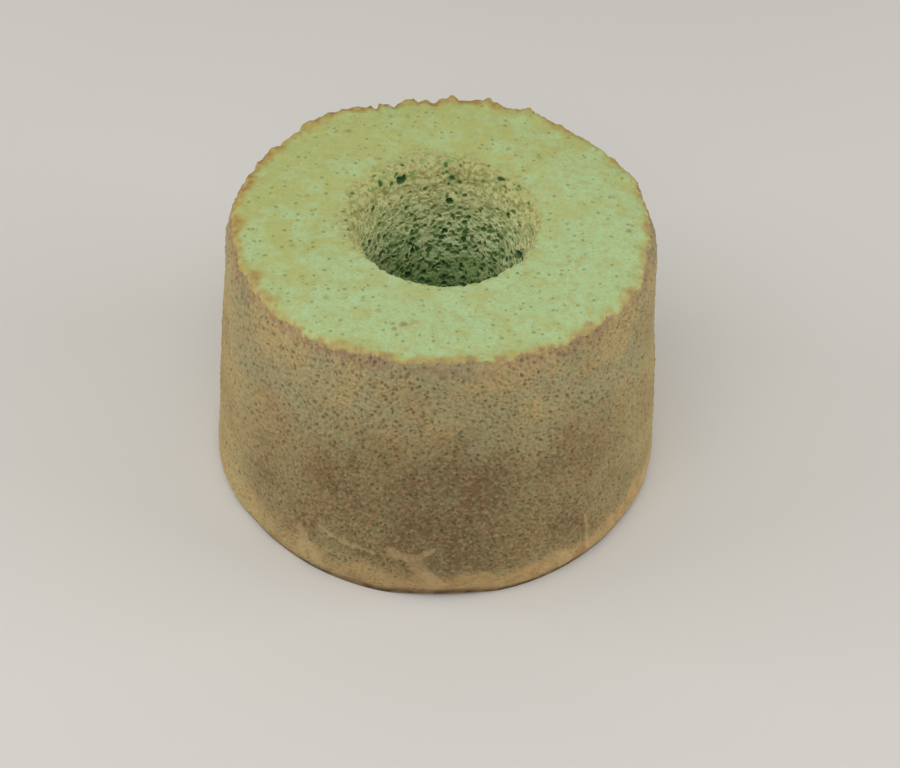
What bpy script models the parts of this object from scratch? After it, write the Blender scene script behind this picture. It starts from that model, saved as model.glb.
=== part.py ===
"""A small angel food cake: one tall ring of sponge, turned out of its tube pan.

It stands on its risen side, so the face that lay on the pan's floor is on top and the
wall narrows upwards. The tunnel left by the pan's tube runs right through and is widest
at the top. The origin is the middle of the flat base, +Z is up and -Y is the front.
"""

import math

import bpy
from mathutils import Vector, noise

# Driving sizes, in metres.
BASE_DIAMETER = 0.1412
TOP_DIAMETER = 0.1258
HEIGHT = 0.0909
MOUTH_DIAMETER = 0.058
TUNNEL_TOP_DIAMETER = 0.0525
TUNNEL_FOOT_DIAMETER = 0.0370
TUNNEL_LEAN = (0.0008, -0.0010)

# Roundings and swells of the turned profile.
RIM_ACROSS = 0.0045
RIM_DOWN = 0.0110
MOUTH_DEPTH = 0.0055
FOOT_ACROSS = 0.0028
FOOT_UP = 0.0045
FOOT_FLARE = 0.0003
FOOT_FLARE_HEIGHT = 0.0090
WALL_SWELL = 0.0003
TOP_CROWN = 0.0006
TUNNEL_FLARE = 0.0012

# How finely the profile and the turn are divided.
TURN_STEPS = 112
ROUND_STEPS = 4
BAND_ROWS = 7
WALL_ROWS = 13
TOP_ROWS = 7
TUNNEL_ROWS = 11

# Relief of the crust: how far apart its swells are, how high, and which draw of the noise.
LUMP_SIZE = 0.030
LUMP_DEPTH = 0.0007
LUMP_SEED = 1.9
RIPPLE_SIZE = 0.012
RIPPLE_DEPTH = 0.00035
RIPPLE_SEED = 3.3
TUNNEL_ROUGH_SIZE = 0.0055
TUNNEL_ROUGH_DEPTH = 0.0007
TUNNEL_ROUGH_SEED = 7.7
CRAG_SIZE = 0.0070
CRAG_DEPTH = 0.0009
CRAG_SEED = 5.1
CRAG_REACH = 0.0040

# The band of whole skin that stayed on the foot of the wall.
BAND_HEIGHT = 0.0115
BAND_RAGGED = 0.0060
BAND_RAGGED_SIZE = 0.011
BAND_RAGGED_SEED = 11.3
BAND_EDGE = 0.0016
SKIN_THICKNESS = 0.0003

# Folds, creases and loose flakes of that skin: where each starts and ends, as degrees round
# from the front towards the right and metres above the base, then its width and how far
# it stands out.
FOLDS = (
    ((-33.6, 0.0160), (-33.8, 0.0070), 0.0022, 0.0007),
    ((-31.6, 0.0110), (-29.3, 0.0055), 0.0020, 0.0007),
    ((-28.3, 0.0212), (-14.1, 0.0187), 0.0014, 0.0006),
    ((-29.1, 0.0190), (-26.2, 0.0163), 0.0012, -0.0009),
    ((-26.2, 0.0163), (-18.2, 0.0155), 0.0011, -0.0007),
    ((-9.7, 0.0215), (-2.1, 0.0138), 0.0016, 0.0008),
    ((-2.1, 0.0138), (2.8, 0.0068), 0.0020, 0.0008),
    ((-2.7, 0.0178), (0.6, 0.0215), 0.0012, 0.0006),
    ((-8.1, 0.0160), (-2.8, 0.0130), 0.0011, -0.0007),
    ((41.6, 0.0210), (43.4, 0.0050), 0.0012, 0.0007),
    ((34.5, 0.0085), (36.5, 0.0035), 0.0022, 0.0006),
)

# How the foot draws in at the front: the middle and half width in degrees, how far in, and
# up to what height.
FOOT_TUCK = (5.0, 75.0, 0.0022, 0.0200)

# How the foot's edge curls up off the surface that it stands on: the middle and half width
# in degrees, how high, how far in from the edge, and up to what height on the wall.
FOOT_CURL = (4.0, 12.0, 0.0015, 0.0070, 0.0120)

# Torn bits that stand up from the rim: degrees round, half width in degrees, height.
RIM_FLAKES = (
    (-151.0, 5.0, 0.0009),
    (-121.0, 2.6, 0.0013),
    (165.0, 4.0, 0.0008),
    (112.0, 3.2, 0.0008),
    (64.0, 4.5, 0.0006),
)

SPONGE_COLOUR = (0.31, 0.27, 0.13, 1.0)
SPONGE_ROUGHNESS = 0.95


def ease(low, high, value):
    """0 below low, 1 above high, and a smooth step between."""
    share = min(max((value - low) / (high - low), 0.0), 1.0)
    return share * share * (3 - 2 * share)


def clear_scene():
    """Starts from an empty scene."""
    for found in list(bpy.data.objects):
        bpy.data.objects.remove(found)


def wall_radius(z):
    """Outer radius of the turned wall at a height, before the rim and foot are rounded."""
    share = z / HEIGHT
    straight = BASE_DIAMETER / 2 + (TOP_DIAMETER - BASE_DIAMETER) / 2 * share
    swell = WALL_SWELL * math.sin(math.pi * min(max(share, 0.0), 1.0))
    return straight + swell + FOOT_FLARE * math.exp(-((z / FOOT_FLARE_HEIGHT) ** 2))


def tunnel_radius(z):
    """Radius of the tunnel's wall at a height, with its foot opened out a little."""
    share = z / (HEIGHT - MOUTH_DEPTH)
    straight = (
        TUNNEL_FOOT_DIAMETER / 2
        + (TUNNEL_TOP_DIAMETER - TUNNEL_FOOT_DIAMETER) / 2 * share
    )
    return straight + TUNNEL_FLARE * math.exp(-((z / FOOT_UP) ** 2))


def top_height(radius):
    """Height of the top face at a radius: it crowns a little between mouth and rim."""
    inner = MOUTH_DIAMETER / 2
    outer = TOP_DIAMETER / 2 - RIM_ACROSS
    share = min(max((radius - inner) / (outer - inner), 0.0), 1.0)
    return HEIGHT - TOP_CROWN + TOP_CROWN * math.sin(math.pi * share)


def corner(centre, across, along, first, last, steps):
    """Points of an elliptical corner, from one angle to another in degrees."""
    points = []
    for step in range(steps + 1):
        angle = math.radians(first + (last - first) * step / steps)
        x = centre[0] + across * math.cos(angle)
        z = centre[1] + along * math.sin(angle)
        points.append((x, z))
    return points


def ring_profile():
    """The cut through one side of the ring, from the rim down the wall and back over the top."""
    rim_z = HEIGHT - TOP_CROWN - RIM_DOWN
    rim_x = wall_radius(rim_z) - RIM_ACROSS
    foot_x = wall_radius(FOOT_UP) - FOOT_ACROSS
    mouth_x = MOUTH_DIAMETER / 2
    mouth_z = HEIGHT - TOP_CROWN - MOUTH_DEPTH
    mouth_across = mouth_x - tunnel_radius(mouth_z)

    points = corner((rim_x, rim_z), RIM_ACROSS, RIM_DOWN, 90, 0, ROUND_STEPS)
    band_top = BAND_HEIGHT + BAND_RAGGED
    for row in range(1, WALL_ROWS + 1):
        z = rim_z + (band_top - rim_z) * row / WALL_ROWS
        points.append((wall_radius(z), z))
    for row in range(1, BAND_ROWS):
        z = band_top + (FOOT_UP - band_top) * row / BAND_ROWS
        points.append((wall_radius(z), z))
    points += corner((foot_x, FOOT_UP), FOOT_ACROSS, FOOT_UP, 0, -90, ROUND_STEPS)
    points.append((foot_x - FOOT_CURL[3], 0.0))
    for row in range(TUNNEL_ROWS):
        z = mouth_z * row / TUNNEL_ROWS
        points.append((tunnel_radius(z), z))
    points += corner(
        (mouth_x, mouth_z), mouth_across, MOUTH_DEPTH, 180, 90, ROUND_STEPS
    )
    for row in range(1, TOP_ROWS):
        x = mouth_x + (rim_x - mouth_x) * row / TOP_ROWS
        points.append((x, top_height(x)))
    return points


def turned_ring(collection):
    """The plain ring: its profile turned round the upright axis by a Screw modifier."""
    profile = ring_profile()
    last = len(profile) - 1
    edges = [(i, i + 1) for i in range(last)] + [(last, 0)]
    mesh = bpy.data.meshes.new("ring_profile")
    mesh.from_pydata([(x, 0.0, z) for x, z in profile], edges, [])
    ring = bpy.data.objects.new("ring_profile", mesh)
    collection.objects.link(ring)
    turn = ring.modifiers.new("turn", "SCREW")
    turn.axis = "Z"
    turn.angle = math.tau
    turn.steps = TURN_STEPS
    turn.render_steps = TURN_STEPS
    turn.use_merge_vertices = True
    turn.merge_threshold = 0.0001
    return ring


def degrees_round(place):
    """How far round the ring a place is, from the front towards the right, in -180 to 180."""
    return math.degrees(math.atan2(place.x, -place.y))


def turn_between(first, second):
    """The signed angle from the second to the first, in degrees."""
    return (first - second + 180.0) % 360.0 - 180.0


def bumps(place, size, seed):
    """Smooth noise of about -1 to 1 whose swells are a size apart."""
    return noise.noise(place / size + Vector((seed, 2.0 * seed, -seed)))


def band_top_at(place):
    """Height of the ragged upper edge of the skin band, at a place on the wall."""
    flat = Vector((place.x, place.y, 0.0))
    return BAND_HEIGHT + BAND_RAGGED * bumps(flat, BAND_RAGGED_SIZE, BAND_RAGGED_SEED)


def fold_relief(place):
    """How far the folds of the skin band lift a place on the wall."""
    lift = 0.0
    round_now = degrees_round(place)
    arc = math.radians(1.0) * BASE_DIAMETER / 2
    for start, end, width, depth in FOLDS:
        here = Vector((turn_between(round_now, start[0]) * arc, place.z - start[1]))
        along = Vector(((end[0] - start[0]) * arc, end[1] - start[1]))
        share = min(max(here.dot(along) / along.length_squared, 0.0), 1.0)
        off = (here - along * share).length
        lift += depth * math.exp(-((off / width) ** 2))
    return lift


def foot_tuck(place):
    """How far the foot draws in at a place on the wall."""
    middle, half_width, depth, height = FOOT_TUCK
    off = turn_between(degrees_round(place), middle) / half_width
    return depth * math.exp(-(off**4)) * (1.0 - ease(0.0, height, place.z))


def foot_curl(place):
    """How high the foot's edge curls up at a place."""
    middle, half_width, height, reach, fade = FOOT_CURL
    off = turn_between(degrees_round(place), middle) / half_width
    edge = BASE_DIAMETER / 2 - FOOT_ACROSS
    near = ease(edge - reach, edge, math.hypot(place.x, place.y))
    return height * math.exp(-(off**4)) * near * (1.0 - ease(0.0, fade, place.z))


def wall_relief(place):
    """Relief of the outer wall: the skin band over its foot, with its folds."""
    edge = band_top_at(place)
    skin = 1.0 - ease(edge - BAND_EDGE, edge + BAND_EDGE, place.z)
    return SKIN_THICKNESS * (skin - 0.5) + fold_relief(place) * ease(0.0, FOOT_UP, place.z)


def rim_relief(place):
    """Crags and torn flakes along the outer rim."""
    radius = math.hypot(place.x, place.y)
    away = math.hypot(
        radius - (TOP_DIAMETER / 2 - RIM_ACROSS / 2),
        place.z - (HEIGHT - RIM_DOWN / 4),
    )
    near = math.exp(-((away / CRAG_REACH) ** 2))
    lift = CRAG_DEPTH * bumps(place, CRAG_SIZE, CRAG_SEED)
    round_now = degrees_round(place)
    for middle, half_width, height in RIM_FLAKES:
        off = turn_between(round_now, middle) / half_width
        lift += height * math.exp(-(off**4))
    return near * lift


def tunnel_relief(place):
    """Coarse roughness of the torn crumb inside the tunnel."""
    return TUNNEL_ROUGH_DEPTH * bumps(place, TUNNEL_ROUGH_SIZE, TUNNEL_ROUGH_SEED)


def relief(place):
    """How far the crust lifts a place of the plain ring along its normal."""
    radius = math.hypot(place.x, place.y)
    middle = (MOUTH_DIAMETER + TOP_DIAMETER) / 4
    lift = LUMP_DEPTH * bumps(place, LUMP_SIZE, LUMP_SEED)
    lift += RIPPLE_DEPTH * bumps(place, RIPPLE_SIZE, RIPPLE_SEED)
    if radius > middle:
        on_wall = 1.0 - ease(HEIGHT - 2 * RIM_DOWN, HEIGHT, place.z)
        lift += on_wall * wall_relief(place) + rim_relief(place) - foot_tuck(place)
    else:
        in_tunnel = 1.0 - ease(HEIGHT - MOUTH_DEPTH, HEIGHT, place.z)
        lift += in_tunnel * tunnel_relief(place)
    return lift


def lean_of_tunnel(place):
    """How far sideways the tunnel's wall stands at a place: its mouth is off the middle."""
    radius = math.hypot(place.x, place.y)
    inner = MOUTH_DIAMETER / 2
    outer = TOP_DIAMETER / 2 - RIM_ACROSS
    share = (1.0 - ease(inner, outer, radius)) * place.z / HEIGHT
    return Vector((TUNNEL_LEAN[0], TUNNEL_LEAN[1], 0.0)) * share


def sponge_material():
    """Matt, pale greenish brown sponge."""
    material = bpy.data.materials.new("sponge")
    material.use_nodes = True
    shader = material.node_tree.nodes["Principled BSDF"]
    shader.inputs["Base Color"].default_value = SPONGE_COLOUR
    shader.inputs["Roughness"].default_value = SPONGE_ROUGHNESS
    shader.inputs["Metallic"].default_value = 0.0
    material.diffuse_color = SPONGE_COLOUR
    return material


def baked_ring(plain, collection):
    """The cake: the turned ring as one mesh, its crust in relief and its base left flat."""
    graph = bpy.context.evaluated_depsgraph_get()
    mesh = bpy.data.meshes.new_from_object(plain.evaluated_get(graph))
    mesh.name = "cake_ring"
    places = [vertex.co.copy() for vertex in mesh.vertices]
    normals = [vertex.normal.copy() for vertex in mesh.vertices]
    for vertex, place, normal in zip(mesh.vertices, places, normals):
        moved = place + normal * relief(place) + lean_of_tunnel(place)
        settled = ease(0.0, FOOT_UP, place.z)
        moved.z = place.z + (moved.z - place.z) * settled + foot_curl(place)
        vertex.co = moved
    mesh.materials.append(sponge_material())
    mesh.shade_smooth()
    cake = bpy.data.objects.new("cake_ring", mesh)
    collection.objects.link(cake)
    return cake


def main():
    clear_scene()
    collection = bpy.data.collections.new("angel_food_cake")
    bpy.context.scene.collection.children.link(collection)
    plain = turned_ring(collection)
    baked_ring(plain, collection)
    bpy.data.objects.remove(plain)


main()
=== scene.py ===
"""Dresses a small ring sponge: its porous wall, the skin on top, the torn tunnel and the stage."""

import math

import bpy
import numpy as np
from bpy.props import FloatProperty, FloatVectorProperty, PointerProperty
from mathutils import Matrix, Vector, noise


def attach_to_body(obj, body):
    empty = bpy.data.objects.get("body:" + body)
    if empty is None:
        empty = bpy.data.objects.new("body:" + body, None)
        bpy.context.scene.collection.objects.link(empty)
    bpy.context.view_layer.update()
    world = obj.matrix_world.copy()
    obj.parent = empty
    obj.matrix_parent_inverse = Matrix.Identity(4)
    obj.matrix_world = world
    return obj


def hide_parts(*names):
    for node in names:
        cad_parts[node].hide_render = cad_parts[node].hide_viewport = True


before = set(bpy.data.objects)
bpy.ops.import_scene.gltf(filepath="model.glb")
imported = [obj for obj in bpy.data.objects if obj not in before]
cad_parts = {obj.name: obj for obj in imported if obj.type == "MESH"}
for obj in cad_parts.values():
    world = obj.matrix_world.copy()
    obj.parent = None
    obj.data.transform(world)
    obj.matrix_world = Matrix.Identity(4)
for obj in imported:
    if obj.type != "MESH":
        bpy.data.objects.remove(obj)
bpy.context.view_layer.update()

bl_info = {
    "name": "Angel food cake",
    "version": (1, 0, 0),
    "blender": (4, 5, 0),
    "location": "3D View > Sidebar > Cake",
    "description": "Bakes the crumb, skin and torn tunnel of a small ring sponge and sets its stage",
    "category": "Object",
}

MM = 0.001
CAKE_NODE = "cake_ring"
BODY = "root"


def in_metres(degrees, rows):
    """Rows of numbers, first some in degrees and then lengths, which come in millimetres."""
    return [(*row[:degrees], *(length * MM for length in row[degrees:])) for row in rows]


# Roundings and swells of the turned outline, as on the solid.
RIM_ACROSS = 4.5 * MM
RIM_DOWN = 11.0 * MM
MOUTH_DEPTH = 5.5 * MM
FOOT_ACROSS = 2.8 * MM
FOOT_UP = 4.5 * MM
FOOT_FLARE = 0.3 * MM
FOOT_FLARE_HEIGHT = 9.0 * MM
WALL_SWELL = 0.3 * MM
TOP_CROWN = 0.6 * MM
TUNNEL_FLARE = 1.2 * MM
TUNNEL_LEAN = (0.8 * MM, -1.0 * MM)

# Swells of the crust, as on the solid: how far apart, how high and which draw of the noise.
LUMPS = (30.0 * MM, 0.7 * MM, 1.9)
RIPPLES = (12.0 * MM, 0.35 * MM, 3.3)
TUNNEL_ROUGH = (5.5 * MM, 0.7 * MM, 7.7)
CRAGS = (7.0 * MM, 0.9 * MM, 5.1)
CRAG_REACH = 4.0 * MM

# The band of whole skin round the foot, as on the solid.
BAND_HEIGHT = 11.5 * MM
BAND_RAGGED = (11.0 * MM, 6.0 * MM, 11.3)
SKIN_STEP = 0.3 * MM

# Folds, creases and loose flakes of that skin. Each row gives where it starts and ends, as degrees
# round from the front towards the right, the heights there, half the width and how far out.
FOLDS = in_metres(2, (
    (-33.6, -33.8, 16.0, 7.0, 2.2, 0.6),
    (-31.6, -29.3, 11.0, 5.5, 2.0, 0.6),
    (-28.3, -14.1, 21.2, 18.7, 0.9, 0.5),
    (-29.1, -26.2, 19.0, 16.3, 0.7, -1.0),
    (-26.2, -18.2, 16.3, 15.5, 0.5, -0.7),
    (-9.7, -6.4, 21.5, 19.0, 1.3, 0.6),
    (-6.4, -2.1, 19.0, 13.8, 1.7, 0.6),
    (-2.1, 2.8, 13.8, 6.8, 2.0, 0.6),
    (-2.7, 0.6, 17.8, 21.5, 0.9, 0.5),
    (-8.1, -5.3, 16.0, 13.0, 0.6, -0.6),
    (-5.3, -2.8, 13.0, 13.0, 0.8, -0.9),
    (41.6, 43.4, 21.0, 5.0, 0.9, 0.6),
    (34.5, 36.5, 8.5, 3.5, 2.2, 0.5),
))
FOLD_EDGE = 0.55 * MM
# How such a fold wanders: the spacing, height and draw of its broad and its fine turns.
FOLD_TURNS = ((7.0 * MM, 2.2 * MM, 3.7), (1.6 * MM, 1.3 * MM, 9.1))

# How the foot draws in at the front: the middle and half width in degrees, how far in, and
# up to what height.
FOOT_TUCK = (5.0, 64.0, 2.2 * MM, 20.0 * MM)

# How the foot's edge curls up off the floor: the middle and half width in degrees, how
# high, how far in from the edge, and up to what height on the wall.
FOOT_CURL = (4.0, 12.0, 1.5 * MM, 7.0 * MM, 12.0 * MM)

# Torn bits that stand up from the rim: degrees round, half width in degrees, height.
RIM_FLAKES = in_metres(2, (
    (-151.0, 5.0, 0.9),
    (-121.0, 2.6, 1.3),
    (165.0, 4.0, 0.8),
    (112.0, 3.2, 0.8),
    (64.0, 4.5, 0.6),
))

# Finer bumps and notches of the rim behind, the same way.
RIM_BITS = in_metres(2, (
    (-139.0, 5.0, 2.2),
    (-158.0, 1.0, -2.2),
    (-161.0, 1.6, -0.9),
    (-163.5, 1.0, -2.1),
    (-165.5, 1.0, -1.1),
    (-171.0, 0.8, -1.1),
    (-175.5, 1.2, -1.5),
    (178.5, 1.2, 1.3),
    (168.0, 0.9, 1.3),
    (163.0, 1.2, -0.5),
    (156.0, 2.0, 2.3),
    (151.5, 2.0, 1.2),
))

# Pores that stand out in the torn crumb: degrees round, distance from the axis, height and radius.
TORN_HOLES = in_metres(1, (
    (-148.5, 26.6, 87.8, 1.4),
    (-132.0, 27.4, 89.3, 0.9),
    (176.5, 26.3, 86.3, 0.8),
    (-178.5, 28.6, 90.2, 0.6),
    (109.0, 25.0, 71.0, 1.5),
    (-154.0, 32.3, 90.5, 0.7),
    (-133.5, 29.8, 90.3, 0.8),
    (156.0, 30.8, 90.4, 0.6),
))

# Browned spots of the skin on top: across, along and radius.
SPOTS = in_metres(0, (
    (-9.4, -46.3, 1.4),
    (-11.8, -48.0, 0.8),
    (54.3, -2.4, 0.8),
    (-30.5, 41.0, 1.0),
))

# Fine swells, broad ones before finer ones: how far apart, how high and which draw of the noise.
# The grain has a strength instead of a height, and its depth apart.
RIM_CRUMBS = (2.8 * MM, 1.2 * MM, 4.9)
FOLD_THICKNESS = (3.0 * MM, 1.2 * MM, 6.3)
WALL_SWELLS = (2.4 * MM, 0.25 * MM, 4.4)
WALL_GRAIN = (1.0 * MM, 1.0, 2.7)
WALL_FINE_GRAIN = (0.60 * MM, 1.0, 5.7)
GRAIN_DEPTH = 0.35 * MM
SPOT_EDGE = (1.4 * MM, 0.6 * MM, 6.6)
TORN_EDGE = ((4.0 * MM, 2.2 * MM, 6.2), (1.5 * MM, 0.8 * MM, 9.4))
HOLE_EDGE = (1.6 * MM, 0.8 * MM, 2.9)
BUBBLES_ASTRAY = (1.3 * MM, 0.9 * MM, 2.2)
SKIN_EDGE = ((5.5 * MM, 1.6 * MM, 8.3), (1.8 * MM, 0.4 * MM, 2.6))
BROWNED_EDGE = ((6.0 * MM, 2.4 * MM, 1.4), (1.8 * MM, 0.5 * MM, 7.1))
SKIN_SWELLS = ((2.4 * MM, 0.10 * MM, 3.1), (1.2 * MM, 0.06 * MM, 3.6))
LIP_SWELLS = ((3.0 * MM, 0.8 * MM, 5.5), (1.4 * MM, 0.6 * MM, 1.2))

# Round pores of each kind: how far apart, which draw of the noise and the smallest radius.
COARSE_PORES = (3.4 * MM, 2.1, 0.35 * MM)
FINE_PORES = (1.20 * MM, 8.8, 0.28 * MM)
PINHOLES = (3.6 * MM, 4.7, 0.25 * MM)
PINHOLE_RADIUS = 0.60 * MM
LARGE_BUBBLES = (4.2 * MM, 1.7, 0.6 * MM)
MIDDLE_BUBBLES = (2.2 * MM, 5.2, 0.45 * MM)
SMALL_CELLS = (1.8 * MM, 3.9)

# How far over the lip the torn crumb reaches and how softly it ends, in millimetres: in front,
# and how much more behind. Then the heights between which it gets coarser downwards.
TORN_REACH = (3.8, 6.5)
TORN_SOFTNESS = (0.8, 7.0)
TORN_DEEPER = (66.0 * MM, 87.0 * MM)

# How far in from the tunnel its torn lip is most ragged.
LIP_MIDDLE = 3.5 * MM

# How near its edge at the rim the skin on top thins out, and how near the wall's pores show in it.
SKIN_THINS_FROM = 2.5 * MM
RIM_PORES_FROM = 4.5 * MM

# The heights between which the painted shade under the foot's edge, with its browned crust, fades out, and
# how much higher where the edge curls up.
UNDER_SHADE_REACH = (0.8 * MM, 3.0 * MM)
UNDER_SHADE_CURL = 1.6 * MM

# How softly the band round the foot ends. It is fainter on the left: the degrees between which it
# comes up, and its strength before them and gain after them.
BAND_SOFTNESS = 2.0 * MM
BAND_RISE = (-35.0, 15.0)
BAND_STRENGTH = (0.45, 0.55)

# How finely each surface is divided: columns round the ring and the pitch of its rows.
# The columns stand closer together where the surface shows most, and further apart opposite.
CROWDING = 0.35
WALL_COLUMNS = 900
WALL_PITCH = 0.38 * MM
TOP_COLUMNS = 700
TOP_PITCH = 0.60 * MM
MOUTH_PITCH = 0.30 * MM
TUNNEL_COLUMNS = 560
TUNNEL_PITCH = 0.40 * MM
TUNNEL_COARSE_BELOW = 38.0 * MM
BASE_ROWS = 10
OUTLINE_STEPS = 400

# Where the pieces meet each other inside the sponge. The cuts of the wall are percent of its rows,
# and a ring is a radius and a height.
UNDER_SKIN = 4.5 * MM
SKIN_DIP = 0.7 * MM
CAP_THICKNESS = 3.0 * MM
CAP_IN_TUNNEL = 14.0 * MM
TUNNEL_OVERLAP = 2.0 * MM
TUNNEL_SUNK = 0.8 * MM
INNER_RADIUS = 44.0 * MM
TUNNEL_FOOT_HEIGHT = 3.0 * MM
WALL_CUTS = (36, 69)
CAP_RADIUS = 57.0 * MM
FOOT_RING = (30.0 * MM, 8.0 * MM)
TUNNEL_RING = (INNER_RADIUS, 40.0 * MM)

# How far the skin on top reaches down over the rim: degrees round, and the distance.
SKIN_REACH = in_metres(1, (
    (-180.0, 3.3),
    (-110.0, 4.3),
    (-60.0, 3.6),
    (-35.0, 4.8),
    (0.0, 2.2),
    (35.0, 3.6),
    (90.0, 3.3),
    (180.0, 3.3),
))


def linear(seen):
    """A colour given as it is seen, 0 to 255, as the linear values that Blender mixes."""
    shares = [channel / 255 for channel in seen]
    return tuple(s / 12.92 if s <= 0.04045 else ((s + 0.055) / 1.055) ** 2.4 for s in shares)


def colour_property(name, description, seen):
    """A colour that a user can change, given as it is seen."""
    return FloatVectorProperty(
        name=name, description=description, subtype="COLOR", size=3, min=0.0, max=1.0, default=linear(seen)
    )


def length_property(name, description, default):
    """A length that a user can change."""
    return FloatProperty(
        name=name, description=description, unit="LENGTH", min=0.0, precision=5, default=default
    )


class CakeSizes(bpy.types.PropertyGroup):
    base_diameter: length_property("Base", "Width of the wall's taper at the floor", 0.1412)
    top_diameter: length_property("Top", "Width of the wall's taper at the top, under the rim", 0.1258)
    height: length_property("Height", "Height of the turned ring", 0.0909)
    mouth_diameter: length_property("Mouth", "Width of the tunnel's mouth with its rounding", 0.058)
    tunnel_top: length_property("Tunnel top", "Width of the tunnel just below its mouth", 0.0525)
    tunnel_foot: length_property("Tunnel foot", "Width of the tunnel at the floor", 0.0370)
    skin_thickness: length_property("Skin", "How far the top's skin stands over the crumb", 0.3 * MM)
    coarse_pore: length_property("Coarse pore", "Radius of the largest pores of the wall", 0.75 * MM)
    fine_pore: length_property("Fine pore", "Radius of the largest fine pores of the wall", 0.62 * MM)
    tunnel_pore: length_property("Tunnel pore", "Radius of the largest pores in the tunnel", 1.25 * MM)


class CakeColours(bpy.types.PropertyGroup):
    skin: colour_property("Skin", "Pale green of the skin on top", (189, 219, 163))
    skin_yellow: colour_property("Skin, yellow", "Yellower skin at the back and left", (190, 201, 128))
    skin_pale: colour_property("Skin, pale", "Palest, cooler flecks of the skin", (192, 216, 164))
    skin_patch: colour_property("Skin patch", "Olive yellow patches of the skin", (186, 186, 112))
    # Dark specks of the skin, also painted as shade into its pits.
    skin_speck_and_shade: colour_property("Skin speck", "Dark pinholes of the skin", (112, 126, 74))
    rim: colour_property("Rim", "Browned edge of the skin", (186, 146, 80))
    rim_dark: colour_property("Rim, dark", "Darkest brown of the rim at the back", (142, 98, 48))
    rim_line: colour_property("Rim line", "Purple brown line at the skin's edge", (150, 116, 96))
    wall_light: colour_property("Wall, light", "Light tan of the wall's crumb", (188, 167, 116))
    # Brown in broad random patches, and painted shade low on the wall in front.
    wall_brown_and_shade: colour_property("Wall, brown", "Browner crumb low on the wall in front", (126, 101, 66))
    wall_grey: colour_property("Wall, grey", "Grey green flecks and patches of the wall", (162, 160, 122))
    wall_pink: colour_property("Wall, pink", "Warm flecks of the wall's crumb", (190, 150, 112))
    # Painted shade: the dark olive laid into the wall's pores, creases and hollows.
    wall_pore_shade: colour_property("Wall pore", "Dark olive of the wall's pores", (96, 92, 62))
    foot_skin: colour_property("Foot skin", "Smoother tan skin round the foot", (214, 173, 116))
    foot_flake: colour_property("Foot flake", "Pale loose flakes of the foot's skin", (202, 178, 132))
    # Painted shade under the foot's edge, darkest where it curls up off the floor, with the crust's own
    # browning.
    foot_edge_shade: colour_property("Foot edge", "Dark brown of the foot's lowest edge", (74, 54, 36))
    foot_brown: colour_property("Foot brown", "Browned streaks of the foot's skin", (180, 136, 86))
    web_lip: colour_property("Web, lip", "Khaki webs of the crumb at the tunnel's mouth", (198, 198, 134))
    web: colour_property("Web", "Cream webs of the torn crumb in the tunnel", (234, 232, 172))
    # Painted light: paler webs lower in the tunnel, lifting them where the lamps give too little light.
    web_painted_light: colour_property("Web, deep", "Paler webs further down the tunnel", (244, 248, 200))
    web_brown: colour_property("Web, brown", "Olive brown crumbs at the tunnel's mouth", (136, 118, 64))
    # Painted shade: green in shallow pores, in soft clouds and in the dark band low in the tunnel.
    web_shade: colour_property("Web shade", "Green inside shallow pores", (144, 178, 108))
    # Painted shade in the deep pores, with the crumb's own green.
    web_pore_shade: colour_property("Web pore", "Dark green inside deep pores", (50, 92, 52))


def power_property(name, description, default):
    """The power of a light that a user can change."""
    return FloatProperty(name=name, description=description, unit="POWER", min=0.0, default=default)


class CakeStage(bpy.types.PropertyGroup):
    floor: colour_property("Floor", "Plain pale floor", (234, 233, 230))
    sky: colour_property("Sky", "Colour of the even light all round", (255, 250, 240))
    key_power: power_property("Key light", "Power of the large light", 4.6)
    side_power: power_property("Side light", "Power of each side light", 3.6)
    sky_strength: FloatProperty(name="Sky", description="Strength of the even light", min=0.0, default=0.36)


def ease(low, high, value):
    """0 below low, 1 above high, and a smooth step between."""
    share = np.clip((value - low) / (high - low), 0.0, 1.0)
    return share * share * (3 - 2 * share)


def swell(places, swells, octave=1.0):
    """Smooth noise over places, for swells given as their spacing, height and draw."""
    size, height, seed = swells
    moved = places.reshape(-1, 3) / (size * octave) + np.array((seed, 2.0 * seed, -seed))
    values = np.array([noise.noise(place) for place in moved.tolist()])
    return height * values.reshape(places.shape[:-1])


def swells_of(places, several):
    """Several swells one over the other."""
    return sum(swell(places, swells) for swells in several)


def bubbles(places, spacing, seed):
    """The bubble nearest to each place: how far off its middle and its wall are, and two draws for it."""
    moved = places.reshape(-1, 3) / spacing + seed
    found = np.empty((len(moved), 4))
    for index, place in enumerate(moved.tolist()):
        distances, middles = noise.voronoi(place)
        middle = middles[0]
        draws = noise.cell(middle * 9.0), noise.cell(middle * 13.0 + Vector((5.0, 3.0, 1.0)))
        found[index] = (distances[0], distances[1] - distances[0], *draws)
    found = found.reshape(*places.shape[:-1], 4)
    away, to_wall = found[..., 0] * spacing, found[..., 1] * spacing
    return away, to_wall, (found[..., 2] + 1) / 2, (found[..., 3] + 1) / 2


def foam(places, spacing, seed):
    """Cells of foam cut open: 0 on the webs between them, and up to 1 inside the deepest."""
    to_wall, draw = bubbles(places, spacing, seed)[1:3]
    return ease(0.04 * spacing, 0.34 * spacing, to_wall) * (0.15 + 0.85 * draw)


def pits(places, pores, largest, share):
    """Depth of round pits where bubbles of one kind break the surface; share of the bubbles do."""
    spacing, seed, smallest = pores
    away, _, draw_size, draw_open = bubbles(places, spacing, seed)
    radius = (smallest + (largest - smallest) * draw_size**2) * (draw_open < share)
    return np.sqrt(np.maximum(radius**2 - away**2, 0.0))


def wall_pores(sizes, places):
    """Depth of the wall's pores at each place, if its crumb is open there."""
    coarse = pits(places, COARSE_PORES, sizes.coarse_pore, share=0.35)
    fine = pits(places, FINE_PORES, sizes.fine_pore, share=0.95)
    return np.maximum(coarse, fine)


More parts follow.
